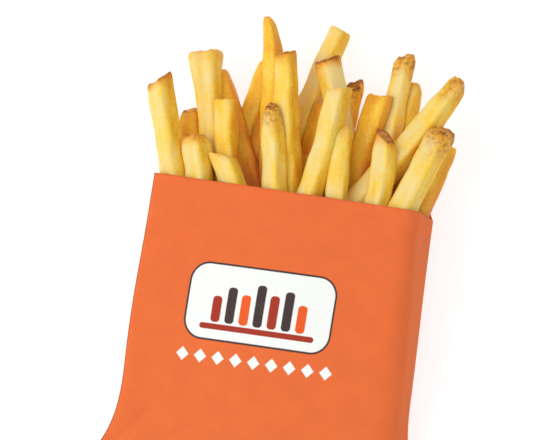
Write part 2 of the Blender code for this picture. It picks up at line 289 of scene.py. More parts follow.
def evenly_spaced(line, steps):
    """Points at equal distances along a line of points, both ends included."""
    lengths = [0.0]
    for a, b in zip(line, line[1:]):
        lengths.append(lengths[-1] + (b - a).length)
    points = []
    piece = 1
    for step in range(steps + 1):
        goal = lengths[-1] * step / steps
        while lengths[piece] < goal - 1e-9:
            piece += 1
        share = (goal - lengths[piece - 1]) / (lengths[piece] - lengths[piece - 1])
        points.append(line[piece - 1].lerp(line[piece], share))
    return points


def full_section(corners):
    """Two lines of points in metres, front and back, each from the left to the right crease."""
    arcs = [
        corner_arc(corners[i - 1], corners[i], corners[(i + 1) % len(corners)])
        for i in range(len(corners))
    ]
    half = ARC_STEPS // 2
    front = arcs[0][half:]
    for arc in arcs[1:RIGHT_CREASE]:
        front += arc
    front += arcs[RIGHT_CREASE][:half + 1]
    back = arcs[RIGHT_CREASE][half:]
    for arc in arcs[RIGHT_CREASE + 1:]:
        back += arc
    back += arcs[0][:half + 1]
    back.reverse()
    return [[p * MM for p in evenly_spaced(line, PANEL_CELLS)] for line in (front, back)]


MOUTH_SECTION = full_section(MOUTH_CORNERS)
BELLY_SECTION = full_section(BELLY_CORNERS)
middle_of_front = MOUTH_SECTION[0][PANEL_CELLS // 2]
print(f"section of {2 * PANEL_CELLS} cells, middle of the front at z {middle_of_front.y / MM:.1f} mm")

# %% [markdown]
# ## Where each point of the paper goes
# A ring is the paper's line round the pouch at one distance above the bottom crease. Filled
# paper is never quite flat: it gives a little between the fries, and short folds run up from
# the two bottom corners, where the flat tube turns into the full one. Both are small moves
# inwards, square to the paper, so the pouch keeps its outer size.

# %% Rings of the pouch, with soft dents and folds
CREASE_GAP = 0.35 * MM         # half the distance of the two panels at the bottom crease
CREASE_CLOSING = 8.0           # the panels close on each other over one eighth of their width
FLAT_POWER = 3                 # how fast the section opens out of the flat tube
SLOPE_POWER = 1.6              # how fast the front panel's slope runs out
RISE_POWER = 0.72              # below 1, both panels leave the crease in a full round
DENT_AT_RIM = 0.10 * MM        # the fries press against the paper here, so it hardly gives
DENT_BELOW = 0.55 * MM
DENT_FROM = 20.0 * MM          # the deeper dents begin this far below the rim
DENT_OVER = 30.0 * MM          # and come in over this length
DENT_SIZE = 36.0 * MM          # scale of the dents, which lie 25 mm apart
DENT_RATE = 1.4
DENT_STRETCH = 0.8             # below 1, they are longer up the pouch than across it
DENT_PLACE = Vector((5.1, 2.3, 0.7))      # any other place in the noise gives other dents
RIM_WAVE = 0.22 * MM           # the cut edge isn't quite straight
RIM_WAVE_LENGTH = 24.0 * MM

# Folds as lines on the flat paper: across from the left crease and up from the bottom crease
# in millimetres, for both ends, then the depth. The back panel starts at 117.
Fold = namedtuple("Fold", "across_a up_a across_b up_b depth")
FOLDS = [
    Fold(3.0, 1.0, 17.0, 26.0, 0.55),
    Fold(9.0, 0.5, 34.0, 15.0, 0.40),
    Fold(114.0, 1.0, 99.0, 24.0, 0.50),
    Fold(107.0, 0.5, 84.0, 13.0, 0.35),
    Fold(121.0, 1.0, 136.0, 27.0, 0.60),
    Fold(150.0, 12.0, 171.0, 17.0, 0.35),
    Fold(231.0, 1.0, 214.0, 30.0, 0.60),
    Fold(192.0, 13.0, 208.0, 40.0, 0.35),
]
FOLD_WIDTH = 2.2               # millimetres from the fold's line to its side
FOLD_START = 0.12              # share of its sine wave that a fold leaves out at the corner
FOLD_POWER = 0.7


def fold_depth(across, up):
    """Depth in millimetres of the folds at one point of the flat paper, also in millimetres."""
    here = Vector((across, up))
    total = 0.0
    for fold in FOLDS:
        start = Vector((fold.across_a, fold.up_a))
        line = Vector((fold.across_b, fold.up_b)) - start
        share = (here - start).dot(line) / line.length_squared
        held = min(1.0, max(0.0, share))
        beside = (here - start - line * held).length
        fade = math.sin(math.pi * (FOLD_START + (1.0 - FOLD_START) * held)) ** FOLD_POWER
        total += fold.depth * fade * math.exp(-(beside / FOLD_WIDTH) ** 2)
    return total


def ring_points(above):
    """The paper's outside round the pouch, as (x, z), at a distance above the crease."""
    flat = max(0.0, 1.0 - above / FLATTENING) ** FLAT_POWER
    sloped = max(0.0, 1.0 - above / FRONT_SLOPE) ** SLOPE_POWER
    low = CREASE_HEIGHT * (1.0 - (1.0 - flat) ** RISE_POWER)
    high = CREASE_HEIGHT + (FILLED_DEPTH - CREASE_HEIGHT) * (1.0 - sloped) ** RISE_POWER
    squeeze = (high - low) / FILLED_DEPTH
    belly = smooth_step((PANEL_LENGTH - above - BELLY_START) / BELLY_LENGTH)
    ring = []
    for side, mouth, lower in zip((1, -1), MOUTH_SECTION, BELLY_SECTION):
        line = []
        for step in range(PANEL_CELLS + 1):
            point = mouth[step].lerp(lower[step], belly)
            share = step / PANEL_CELLS
            flat_x = (share - 0.5) * FLAT_WIDTH
            edge = min(1.0, CREASE_CLOSING * min(share, 1.0 - share))
            x = point.x * (1.0 - flat) + flat_x * flat
            z = low + point.y * squeeze + side * CREASE_GAP * edge * flat
            line.append(Vector((x, z)))
        ring += line if side == 1 else line[-2:0:-1]
    return ring


def dent(across, up):
    """How far the paper gives at a point of the flat sheet. All in metres."""
    panel_share = (across % FLAT_WIDTH) / FLAT_WIDTH
    off_crease = smooth_step(6.0 * min(panel_share, 1.0 - panel_share))
    below_rim = smooth_step((PANEL_LENGTH - up - DENT_FROM) / DENT_OVER)
    most = DENT_AT_RIM + (DENT_BELOW - DENT_AT_RIM) * below_rim
    place = Vector((across, up * DENT_STRETCH, 0.07)) / DENT_SIZE
    wave = 0.5 + 0.5 * noise.noise(place * DENT_RATE + DENT_PLACE)
    folds = fold_depth(across / MM, up / MM) * MM * smooth_step(up / (3 * MM))
    return most * wave * off_crease + folds


def moved_inwards(ring, insets):
    """The ring moved inwards, square to its own line, by one distance for each point."""
    count = len(ring)
    moved = []
    for i, point in enumerate(ring):
        along = (ring[(i + 1) % count] - ring[i - 1]).normalized()
        moved.append(point + Vector((along.y, -along.x)) * insets[i])
    return moved


def lip_share(index):
    """How much of the back panel's extra length a point of the ring has, 0 to 1."""
    step = FLAT_WIDTH / PANEL_CELLS
    climb_right = (index - PANEL_CELLS) * step / LIP_TURN_RIGHT
    climb_left = ((2 * PANEL_CELLS - index) * step - LIP_DELAY_LEFT) / LIP_TURN_LEFT
    return smooth_step(min(climb_right, climb_left))


def pouch_row(above):
    """One row of the filled pouch in space."""
    ring = ring_points(above)
    cell = FLAT_WIDTH / PANEL_CELLS
    ring = moved_inwards(ring, [dent(i * cell, above) for i in range(len(ring))])
    near_rim = max(0.0, 1.0 - (PANEL_LENGTH - above) / LIP_START)
    row = []
    for i, p in enumerate(ring):
        wave = noise.noise(Vector((i * cell / RIM_WAVE_LENGTH, 3.7, 1.9))) * RIM_WAVE * near_rim
        drop = CUT_SKEW * (p.x - CUT_PIVOT_X) / FLAT_WIDTH
        rise = (BACK_LIP * lip_share(i) - drop) * near_rim
        row.append(Vector((p.x, CREASE_Y + above + rise - abs(wave), p.y)))
    return row


print("dent in the middle of the front: "
      f"{dent(0.5 * FLAT_WIDTH, 0.5 * PANEL_LENGTH) / MM:.2f} mm")

# %% [markdown]
# ## The folded bottom
# At the bottom both panels are folded over together and glued to the back, which makes a strip
# 11 mm high. So the tube simply goes on past the crease: the front panel's paper becomes the
# outside of the strip and the back panel's paper its inside. A strip laid on as a second piece
# would be easier, but its edge would show on the crease.

# %% Rows of the glued strip
STRIP_HEIGHT = 11.0 * MM
STRIP_OUTER = 0.85 * MM        # the strip's outer paper stands off the back panel
STRIP_INNER = 0.38 * MM
TURN_LENGTH = 1.4 * MM         # paper that goes round the crease
STRIP_CLOSING = 10.0           # its two papers close over one tenth of the width


def strip_row(past_crease):
    """One row of the glued strip, at a distance past the crease, along the back panel."""
    step = 0.5 * MM
    here = ring_points(past_crease)
    further = ring_points(past_crease + step)
    count = len(here)
    rise = smooth_step(past_crease / TURN_LENGTH)
    row = []
    for i in range(count):
        on_back = (count - i) % count
        carrier = on_back if i <= PANEL_CELLS else i
        share = min(i, count - i) / PANEL_CELLS
        edge = min(1.0, STRIP_CLOSING * min(share, 1.0 - share))
        middle = (STRIP_OUTER + STRIP_INNER) / 2
        full = STRIP_OUTER if i <= PANEL_CELLS else STRIP_INNER
        off = (middle + (full - middle) * edge) * rise
        fall = (further[carrier].y - here[carrier].y) / step
        outwards = Vector((0.0, fall, -1.0)).normalized()
        on_panel = Vector((here[carrier].x, CREASE_Y + past_crease, here[carrier].y))
        row.append(on_panel + outwards * off)
    return row


# %% [markdown]
# ## The paper sheet
# The sheet starts as a flat grid at its real size, with a UV map in millimetres, so that a
# print is laid out as on the printer's flat sheet. Then each point is moved to its place. The
# two side edges meet at the left crease and are merged, and a Solidify modifier gives the paper
# its thickness. Real paper is 0.1 mm thick. It is drawn 0.28 mm thick, so the cut edge shows.

# %% Make the paper pouch
ROW_STEP = 1.0 * MM
PAPER_THICKNESS = 0.28 * MM
MERGE_WITHIN = 0.02 * MM       # points closer than this become one
TOP_ROWS = round(PANEL_LENGTH / ROW_STEP)
STRIP_ROWS = round(STRIP_HEIGHT / ROW_STEP)


def paper_sheet():
    """The flat sheet, with the print's map on it, moved to its folded form."""
    mesh = bmesh.new()
    columns = 2 * PANEL_CELLS
    rows = TOP_ROWS + STRIP_ROWS
    bmesh.ops.create_grid(mesh, x_segments=columns, y_segments=rows, size=0.5)
    print_map = mesh.loops.layers.uv.new("print_mm")
    placed = [strip_row((STRIP_ROWS - r) * ROW_STEP) for r in range(STRIP_ROWS)]
    placed += [pouch_row(r * ROW_STEP) for r in range(TOP_ROWS + 1)]
    for face in mesh.faces:
        for loop in face.loops:
            across = (loop.vert.co.x + 0.5) * 2 * FLAT_WIDTH / MM
            up = (loop.vert.co.y + 0.5) * rows * ROW_STEP / MM - STRIP_HEIGHT / MM
            loop[print_map].uv = (across, up)
    for vertex in mesh.verts:
        column = round((vertex.co.x + 0.5) * columns) % columns
        row = round((vertex.co.y + 0.5) * rows)
        vertex.co = placed[row][column]
    bmesh.ops.remove_doubles(mesh, verts=mesh.verts, dist=MERGE_WITHIN)
    bmesh.ops.recalc_face_normals(mesh, faces=mesh.faces)
    return mesh


# %% [markdown]
# ## Printed kraft paper
# The pouch is thin sulphite kraft paper, printed all over in orange with a matt ink. It gives
# the eye an even, strong colour with hardly any gloss, faint clouds from the fibres in it and a
# very fine tooth. A little light goes through it, so its shaded side stays warm. Along the
# creases a darker line is painted, as painted shade. The inside is nearly the same orange. The
# print in the middle is a plain badge with upright bars, and a row of lozenges under it.
#
# Letters or pictures could be drawn as meshes. Shapes that are worked out from the distance to
# an outline need no mesh at all, stay sharp at any size and lie in the paper like ink.

# %% Inks and shapes of the print
ORANGE = "#ed7540"
ORANGE_INSIDE = "#e8743f"
WHITE_INK = "#fbf7f2"
DARK_INK = "#4d3f3e"
BRICK_INK = "#ab3f30"
BRIGHT_INK = "#f0652f"
INK_EDGE = 0.10                # softness of a printed edge in millimetres


def box_distance(tree, place, centre, size, radius):
    """Distance in millimetres from a rectangle with round corners, below zero inside it."""
    off = add_node(tree, "VectorMath", {0: place, 1: (*centre, 0.0)}, operation="SUBTRACT")
    folded = add_node(tree, "VectorMath", {0: off.outputs[0]}, operation="ABSOLUTE")
    inner = (size[0] / 2 - radius, size[1] / 2 - radius, 0.0)
    past = add_node(tree, "VectorMath", {0: folded.outputs[0], 1: inner}, operation="SUBTRACT")
    held = add_node(tree, "VectorMath", {0: past.outputs[0], 1: (0, 0, 0)}, operation="MAXIMUM")
    reach = add_node(tree, "VectorMath", {0: held.outputs[0]}, operation="LENGTH")
    rounded = {0: reach.outputs["Value"], 1: radius}
    return add_node(tree, "Math", rounded, operation="SUBTRACT").outputs[0]


def lozenge_distance(tree, place, centre, size):
    """Distance in millimetres from a lozenge that stands on its tip."""
    off = add_node(tree, "VectorMath", {0: place, 1: (*centre, 0.0)}, operation="SUBTRACT")
    folded = add_node(tree, "VectorMath", {0: off.outputs[0]}, operation="ABSOLUTE")
    slope = (2 / size[0], 2 / size[1], 0.0)
    reach = add_node(tree, "VectorMath", {0: folded.outputs[0], 1: slope}, operation="DOT_PRODUCT")
    past = add_node(tree, "Math", {0: reach.outputs["Value"], 1: 1.0}, operation="SUBTRACT")
    scaled = {0: past.outputs[0], 1: size[0] / 2}
    return add_node(tree, "Math", scaled, operation="MULTIPLY").outputs[0]


def printed(tree, under, ink, distance):
    """The colour under it, with ink over it wherever the distance is below zero."""
    cover = add_node(tree, "MapRange", {0: distance, 1: -INK_EDGE, 2: INK_EDGE, 3: 1.0, 4: 0.0})
    layers = {0: cover.outputs[0], MIX_A: under, MIX_B: srgb(ink)}
    return add_node(tree, "Mix", layers, data_type="RGBA").outputs[MIX_RESULT]


# %% The badge and the row of lozenges
BADGE_CENTRE = (47.0, 56.5)    # on the flat paper: from the left crease, over the bottom crease
BADGE_SIZE = (54.0, 27.0)
BADGE_RADIUS = 7.0
KEYLINE = 0.7                  # width of the dark line round the badge
BAR_STEP = 5.2
BAR_WIDTH = 3.4
BAR_RADIUS = 1.3
BAR_HEIGHTS = [9.0, 12.5, 10.5, 14.5, 11.5, 13.5, 9.5]
BAR_INKS = [BRICK_INK, DARK_INK, BRIGHT_INK, DARK_INK, BRICK_INK, DARK_INK, BRIGHT_INK]
BAR_FOOT = -7.0                # the bars stand on this line, from the badge's middle
BASE_SIZE = (42.0, 2.0)
BASE_RADIUS = 1.0
BASE_DROP = 1.6                # from the bars' feet to the middle of the line under them
LOZENGE_COUNT = 9
LOZENGE_STEP = 6.6
LOZENGE_SIZE = (4.6, 4.8)
LOZENGE_ROW = (47.6, 37.4)     # middle of the row


def print_on(tree, paper, place):
    """The badge, its bars and the row of lozenges, printed over the paper's colour."""
    cx, cy = BADGE_CENTRE
    outline = box_distance(tree, place, BADGE_CENTRE, BADGE_SIZE, BADGE_RADIUS)
    colour = printed(tree, paper, DARK_INK, outline)
    inner = [side - 2 * KEYLINE for side in BADGE_SIZE]
    edge = box_distance(tree, place, BADGE_CENTRE, inner, BADGE_RADIUS - KEYLINE)
    colour = printed(tree, colour, WHITE_INK, edge)
    count = len(BAR_HEIGHTS)
    for i, (height, ink) in enumerate(zip(BAR_HEIGHTS, BAR_INKS)):
        x = cx + (i - (count - 1) / 2) * BAR_STEP
        middle = (x, cy + BAR_FOOT + height / 2)
        bar = box_distance(tree, place, middle, (BAR_WIDTH, height), BAR_RADIUS)
        colour = printed(tree, colour, ink, bar)
    foot = (cx, cy + BAR_FOOT - BASE_DROP)
    base = box_distance(tree, place, foot, BASE_SIZE, BASE_RADIUS)
    colour = printed(tree, colour, BRICK_INK, base)
    for i in range(LOZENGE_COUNT):
        x = LOZENGE_ROW[0] + (i - (LOZENGE_COUNT - 1) / 2) * LOZENGE_STEP
        lozenge = lozenge_distance(tree, place, (x, LOZENGE_ROW[1]), LOZENGE_SIZE)
        colour = printed(tree, colour, WHITE_INK, lozenge)
    return colour


# %% Printed paper material
CLOUD_SIZE = 9.0               # millimetres, clouds of fibres in the paper
CLOUD_TONE = "#8a3c1e"
CLOUD_DEPTH = 0.07             # share of that tone in the darkest cloud
TOOTH_SIZE = 0.9               # real fibres are 0.03 mm wide: coarser here, so they show
TOOTH_DEPTH = 0.03 * MM
LAP_ACROSS = (169.0, 181.0)    # the tube's glued lap runs up the middle of the back
LAP_STEP = 0.12 * MM
LAP_EDGE = 0.3                 # softness of its step
LINE_LENGTH = 3 * PANEL_LENGTH / MM     # a line this long runs off the paper at both ends
HALF_UP = PANEL_LENGTH / MM / 2
SQUARE_END = 0.2               # corner radius of such a line
CREASES = (0.0, FLAT_WIDTH / MM, 2 * FLAT_WIDTH / MM)
CREASE_LINE = 0.8              # width of the painted shade line along each folded edge
CREASE_PAINTED_SHADE = "#b4582f"


def printed_paper(name, colour, with_print):
    """Orange kraft paper, with the badge and lozenges on it or without them."""
    surface, tree, shader = new_material(name)
    place = add_node(tree, "UVMap", uv_map="print_mm").outputs["UV"]
    clouds = add_node(tree, "TexNoise", {"Vector": place, "Scale": 1 / CLOUD_SIZE, "Detail": 3.0})
    dark = {0: 1.0 - CLOUD_DEPTH, MIX_A: srgb(CLOUD_TONE), MIX_B: srgb(colour)}
    darker = add_node(tree, "Mix", dark, data_type="RGBA")
    cloudy = add_node(tree, "MapRange", {0: clouds.outputs["Fac"], 1: 0.35, 2: 0.65, 3: 0.0, 4: 1.0})
    tones = {0: cloudy.outputs[0], MIX_A: darker.outputs[MIX_RESULT], MIX_B: srgb(colour)}
    paper = add_node(tree, "Mix", tones, data_type="RGBA").outputs[MIX_RESULT]
    # Painted shade: a darker line along each crease.
    for across in CREASES:
        line_size = (CREASE_LINE, LINE_LENGTH)
        crease = box_distance(tree, place, (across, HALF_UP), line_size, SQUARE_END)
        paper = printed(tree, paper, CREASE_PAINTED_SHADE, crease)
    if with_print:
        paper = print_on(tree, paper, place)
    tree.links.new(paper, shader.inputs["Base Color"])
    tooth = add_node(tree, "TexNoise", {"Vector": place, "Scale": 1 / TOOTH_SIZE, "Detail": 4.0})
    rough = add_node(tree, "MapRange", {0: clouds.outputs["Fac"], 1: 0.3, 2: 0.7, 3: 0.56, 4: 0.66})
    tree.links.new(rough.outputs[0], shader.inputs["Roughness"])
    shader.inputs["IOR"].default_value = 1.5
    shader.inputs["Specular IOR Level"].default_value = 0.05
    shader.inputs["Subsurface Weight"].default_value = 0.35
    shader.inputs["Subsurface Radius"].default_value = (1.0, 0.35, 0.15)
    shader.inputs["Subsurface Scale"].default_value = 0.6 * MM
    lap_middle = (sum(LAP_ACROSS) / 2, HALF_UP)
    lap_size = (LAP_ACROSS[1] - LAP_ACROSS[0], LINE_LENGTH)
    lap = box_distance(tree, place, lap_middle, lap_size, SQUARE_END)
    lap_height = add_node(tree, "MapRange", {0: lap, 1: -LAP_EDGE, 2: LAP_EDGE, 3: 1.0, 4: 0.0})
    step_height = {"Strength": 1.0, "Distance": LAP_STEP, "Height": lap_height.outputs[0]}
    step = add_node(tree, "Bump", step_height)
    tooth_height = {"Strength": 0.25, "Distance": TOOTH_DEPTH, "Height": tooth.outputs["Fac"]}
    fine = add_node(tree, "Bump", {**tooth_height, "Normal": step.outputs[0]})
    tree.links.new(fine.outputs[0], shader.inputs["Normal"])
    return surface


outside_paper = printed_paper("printed_kraft_paper", ORANGE, True)
inside_paper = printed_paper("kraft_paper_inside", ORANGE_INSIDE, False)
pouch = finish_piece(paper_sheet(), "pouch_paper", outside_paper, inside_paper)
wall = pouch.modifiers.new("paper thickness", "SOLIDIFY")
wall.thickness = PAPER_THICKNESS
wall.offset = -1.0
wall.use_even_offset = False
wall.material_offset = 1
wall.material_offset_rim = 1
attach(pouch, "root")
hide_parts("pouch")

# %% [markdown]
# ## Fries: where each one goes
# The fries are straight-cut potato sticks, 7 to 8 mm square, fried with some skin left on at a
# few ends. They stand in four layers between the front and the back panel. Each one that shows
# was measured in the picture: where it crosses the front panel's edge, where its tip is and how
# wide it looks. Nine low ones fill the gaps between them, so the mouth is full from every side.
# The imported solid holds the same 32 sticks with plain flat ends.
#
# They could be thrown into the pouch by a simulation, but then no fry would be where it is in
# the picture, so a table gives each one its place, its turn and its kind of end.

# %% The table of fries
# Millimetres and degrees. Rim and tip are places in the pouch's frame, and reach is the tip's
# distance from the front panel's cut edge. Across is the width as seen, roll the turn about the
# fry's length and bow its sideways bend. Slant and bevel: how much further the right side
# reaches than the left one, and the underside than the top. Browned and gold go from 0 to 1.
# The low fries that lie in shade were given higher gold values, which is painted shade.
Fry = namedtuple(
    "Fry",
    "rim_x rim_z tip_x reach tip_z across tip_across roll bow slant bevel end browned gold",
)
FRONT_LAYER = [
    Fry(-43.2, 24.2, -53.7, 35.0, 25.0, 9.0, 10.2, 37, 0.0, 4.5, 3.0, "cut", 0.62, 0.20),
    Fry(-33.8, 24.6, -38.0, 16.5, 25.0, 10.4, 9.4, 28, 0.4, -1.0, 1.5, "round", 0.60, 0.25),
    Fry(-21.5, 25.6, -26.7, 10.3, 25.5, 9.4, 9.6, 20, 0.0, -6.5, 1.0, "cut", 0.30, 0.25),
    Fry(-6.6, 26.0, -12.2, 30.0, 27.0, 8.8, 5.2, 35, 0.5, 0.0, 2.5, "skin", 0.80, 0.20),
    Fry(5.6, 26.0, 11.4, 38.5, 27.6, 9.2, 9.0, 30, 0.6, 3.0, 0.5, "cut", 0.20, 0.22),
    Fry(15.4, 26.0, 14.2, 25.5, 26.0, 8.2, 7.4, 12, -0.5, 2.5, 1.0, "round", 0.35, 0.30),
    Fry(29.4, 25.8, 29.4, 24.4, 26.5, 9.0, 6.8, 33, 0.9, -4.5, 4.5, "cut", 0.90, 0.15),
    Fry(38.6, 25.4, 49.2, 28.5, 26.5, 10.0, 10.0, 22, 0.0, 0.5, 4.0, "skin", 0.62, 0.15),
]
SECOND_LAYER = [
    Fry(-24.6, 19.0, -29.2, 31.4, 21.0, 8.6, 8.6, 25, 0.0, 0.0, 1.0, "cut", 0.05, 0.46),
    Fry(-1.4, 19.5, -9.8, 50.4, 23.5, 9.4, 7.4, 30, -0.6, 1.5, 1.0, "cut", 0.70, 0.38),
    Fry(22.0, 19.0, 52.7, 48.0, 21.5, 10.6, 6.8, 28, 1.0, -1.5, 1.5, "skin", 0.48, 0.28),
    Fry(44.0, 14.0, 50.8, 25.5, 17.0, 8.2, 7.6, 42, 0.0, 0.0, 0.5, "cut", 0.10, 0.40),
    Fry(9.6, 18.5, 12.5, 20.0, 18.5, 8.2, 7.8, 35, 0.0, 1.0, 0.5, "cut", 0.20, 0.60),
    Fry(-36.5, 17.5, -40.5, 10.0, 17.5, 8.4, 8.0, 30, 0.0, 1.5, 0.5, "cut", 0.20, 0.50),
]
THIRD_LAYER = [
    Fry(-31.0, 12.8, -40.2, 49.0, 16.0, 8.6, 13.8, 14, 0.5, 0.5, 0.6, "lobes", 0.30, 0.20),
    Fry(-9.6, 12.5, -19.2, 64.3, 18.0, 8.8, 3.0, 32, 0.0, 0.0, 0.5, "point", 0.60, 0.62),
    Fry(22.6, 11.8, 4.3, 51.4, 17.0, 9.2, 9.6, -30, 0.0, 1.0, 2.0, "cut", 0.80, 0.05),
    Fry(18.9, 12.8, 25.3, 40.5, 16.5, 10.8, 9.4, 20, -0.4, 1.5, 0.8, "cut", 0.35, 0.78),
    Fry(27.6, 12.0, 31.8, 56.6, 13.5, 8.6, 7.0, 33, 0.4, 3.0, 3.0, "skin", 0.60, 0.10),
    Fry(35.0, 12.8, 39.8, 26.5, 13.5, 8.2, 8.0, 30, 0.0, 0.0, 1.5, "cut", 0.20, 0.68),
    Fry(-36.2, 11.5, -43.2, 27.5, 12.5, 8.4, 9.4, 22, 0.0, 0.0, 2.5, "round", 0.60, 0.75),
    Fry(2.0, 12.0, 1.0, 16.0, 12.0, 8.6, 8.2, 25, 0.0, -1.0, 0.5, "cut", 0.20, 0.60),
]
BACK_LAYER = [
    Fry(-15.2, 10.0, -35.8, 43.7, 9.5, 9.8, 7.8, 12, 0.0, -1.0, 0.5, "cut", 0.20, 0.75),
    Fry(-26.0, 6.4, -17.6, 49.9, 8.0, 8.6, 7.0, 18, 0.0, 2.0, 0.5, "cut", 0.20, 0.55),
    Fry(-7.6, 6.6, 6.8, 64.4, 9.5, 9.2, 8.2, 30, -1.2, -1.5, 0.5, "cut", 0.15, 0.15),
    Fry(9.4, 6.4, 14.9, 46.0, 9.5, 8.6, 6.8, 35, 0.0, 3.5, 2.0, "skin", 1.00, 0.40),
    Fry(31.0, 6.4, 36.0, 48.4, 8.5, 8.8, 6.8, 24, 0.0, 0.5, 0.5, "round", 0.50, 0.30),
    Fry(-34.6, 6.3, -36.0, 20.0, 6.8, 8.4, 8.0, 20, 0.0, 1.0, 0.5, "cut", 0.20, 0.50),
    Fry(21.4, 6.3, 22.0, 26.0, 7.0, 8.6, 8.0, 15, 0.0, 0.0, 0.5, "cut", 0.20, 0.60),
    Fry(38.6, 7.2, 42.0, 20.0, 7.5, 7.8, 7.4, 30, 0.0, 0.0, 0.5, "cut", 0.20, 0.40),
    Fry(1.4, 8.6, 3.9, 36.0, 10.0, 8.8, 8.2, 25, 0.0, 0.0, 0.5, "cut", 0.30, 0.85),
    Fry(-17.2, 6.8, -17.6, 26.5, 7.4, 8.6, 8.2, 20, 0.0, 0.0, 0.5, "cut", 0.30, 1.00),
]
LAYERS = {
    "fries_front": FRONT_LAYER,
    "fries_second": SECOND_LAYER,
    "fries_third": THIRD_LAYER,
    "fries_back": BACK_LAYER,
}
print("fries:", sum(len(rows) for rows in LAYERS.values()))

# %% [markdown]
# ## One fry
# A fry starts as a square bar that is cut into a fine grid, once for all of them. Each copy is
# then bent to its place, and its skin is worked: the corners are rounded, the faces sink in a
# little where water has left the potato, and slow bumps make the edges wander. A subdivided
# cube with a few loops would be lighter, but the ragged ends need the close grid.

# %% A bar cut into a grid
BAR_CELLS_ALONG = 96
BAR_CELLS_ACROSS = 14


def gridded_bar():
    """A bar from y = 0 to y = 1 with sides from -0.5 to 0.5, cut into even cells."""
    mesh = bmesh.new()
    bmesh.ops.create_cube(mesh, size=1.0)
    bmesh.ops.translate(mesh, verts=mesh.verts, vec=(0.0, 0.5, 0.0))
    run = [e for e in mesh.edges if abs(e.verts[0].co.y - e.verts[1].co.y) > 0.5]
    bmesh.ops.subdivide_edges(mesh, edges=run, cuts=BAR_CELLS_ALONG - 1, use_grid_fill=True)
    across = [e for e in mesh.edges if abs(e.verts[0].co.y - e.verts[1].co.y) < 1e-6]
    bmesh.ops.subdivide_edges(mesh, edges=across, cuts=BAR_CELLS_ACROSS - 1, use_grid_fill=True)
    return mesh


bar = gridded_bar()
print(f"bar: {len(bar.verts)} points, {len(bar.faces)} faces")

# %% [markdown]
# The cut end of a fry tells most about it. A knife cut stays flat, with a raised brown rim and
# a sunken middle. A rounded end was the potato's own end. A skin end is rough and spotted with
# brown skin. Two lobes come from a groove down the stick, and a point from a slanting cut
# along it. One small table says how strongly each kind has each trait.

# %% Kinds of ends
CORNER_SHARE = 0.33            # corner radius as a share of the side
TAPER_POWER = 4                # above 1, a fry narrows only near its tip
ROOT = 34.0                    # millimetres of each fry inside the pouch
End = namedtuple("End", "round_length shrink ragged sunken lean groove skin")
ENDS = {
    "cut": End(1.5, 0.12, 0.34, 0.80, 0.0, 0.0, 0.0),
    "round": End(4.2, 0.42, 0.40, 0.00, 0.0, 0.0, 0.0),
    "skin": End(3.2, 0.30, 0.60, 0.30, 0.0, 0.0, 1.0),
    "lobes": End(2.2, 0.20, 0.40, 0.20, 0.0, 1.0, 0.0),
    "point": End(2.0, 0.26, 0.55, 0.20, -1.0, 0.0, 0.0),
}


def side_length(across, roll):
    """Side of the square section that shows the given width at this turn."""
    turn = math.radians(abs(roll))
    straight = 0.5 - CORNER_SHARE
    return across / 2 / (straight * (math.cos(turn) + math.sin(turn)) + CORNER_SHARE)


# %% Section and skin of a fry
# Millimetres, apart from the shares. A noise with a size of 6 mm swells and sinks about every
# 6 mm, and along the fry all of them are stretched.
HOLLOW = 0.22                  # how deep each face sinks in
HOLLOW_CHANGE = 0.8            # share by which that changes along the fry
HOLLOW_LENGTH = 15.0
WEAR_CHANGE = 0.40             # share by which each corner's radius changes
WEAR_LENGTH = 14.0
LUMPS = 0.45                   # slow bumps of the skin
LUMP_SIZE = 6.0
LUMP_LENGTH = 13.0
LUMP_RATE = 1.6
RIPPLES = 0.13                 # bumps 3 mm wide
RIPPLE_RATE = 0.6
PIMPLES = 0.08                 # small blisters
PIMPLE_SIZE = 1.9
PIMPLE_STRETCH = 0.6           # below 1, they are longer along the fry


def section_point(unit_a, unit_b, side, seed, run):
    """A point of the rounded section, with the share of the way from its middle to its skin."""
    edge = max(abs(unit_a), abs(unit_b)) * 2
    if edge < 1e-6:
        return Vector((0.0, 0.0)), 0.0
    half = side / 2
    a = unit_a / edge * side
    b = unit_b / edge * side
    wear = noise.noise(Vector((seed + 3 * (a > 0) + 5 * (b > 0), run / WEAR_LENGTH, 9.0)))
    radius = side * CORNER_SHARE * (1.0 + WEAR_CHANGE * wear)
    inner = half - radius
    core = Vector((min(inner, max(-inner, a)), min(inner, max(-inner, b))))
    out = Vector((a, b)) - core
    skin = core + out.normalized() * radius
    on_side = abs(a) > abs(b)
    face = 1.0 - ((b if on_side else a) / half) ** 2
    deeper = noise.noise(Vector((seed + 4 * on_side, run / HOLLOW_LENGTH, a / side)))
    skin -= skin.normalized() * (HOLLOW * face * (1.0 + HOLLOW_CHANGE * deeper))
    place = Vector((skin.x / LUMP_SIZE + seed, run / LUMP_LENGTH, skin.y / LUMP_SIZE))
    fine = Vector((skin.x + seed, run * PIMPLE_STRETCH, skin.y)) / PIMPLE_SIZE
    bump = LUMPS * noise.noise(place * LUMP_RATE) + RIPPLES * noise.noise(fine * RIPPLE_RATE)
    bump += PIMPLES * noise.noise(fine)
    skin += skin.normalized() * bump
    return skin * edge, edge


# %% Centre line of a fry
ROOT_TURN = 0.6                # how far the hidden part turns straight down the pouch
ROOT_EASE = 8.0                # millimetres over which it begins to turn
ROOT_CLOSER = 0.15             # share of the way from the panels to the pouch's middle
WANDER = 0.45                  # sideways drift of the middle line
WANDER_LENGTH = 24.0
WANDER_START = 12.0            # at the rim a fry is where it was measured, so none there
Line = namedtuple("Line", "rim along sideways upwards length")


def centre_line(fry):
    """Start at the rim, direction to the tip, sideways, upwards and length, in millimetres."""
    rim = Vector((fry.rim_x, RIM_Y / MM, fry.rim_z))
    tip = Vector((fry.tip_x, RIM_Y / MM + fry.reach, fry.tip_z))
    along = (tip - rim).normalized()
    sideways = along.cross(Vector((0, 0, 1))).normalized()
    return Line(rim, along, sideways, sideways.cross(along), (tip - rim).length)


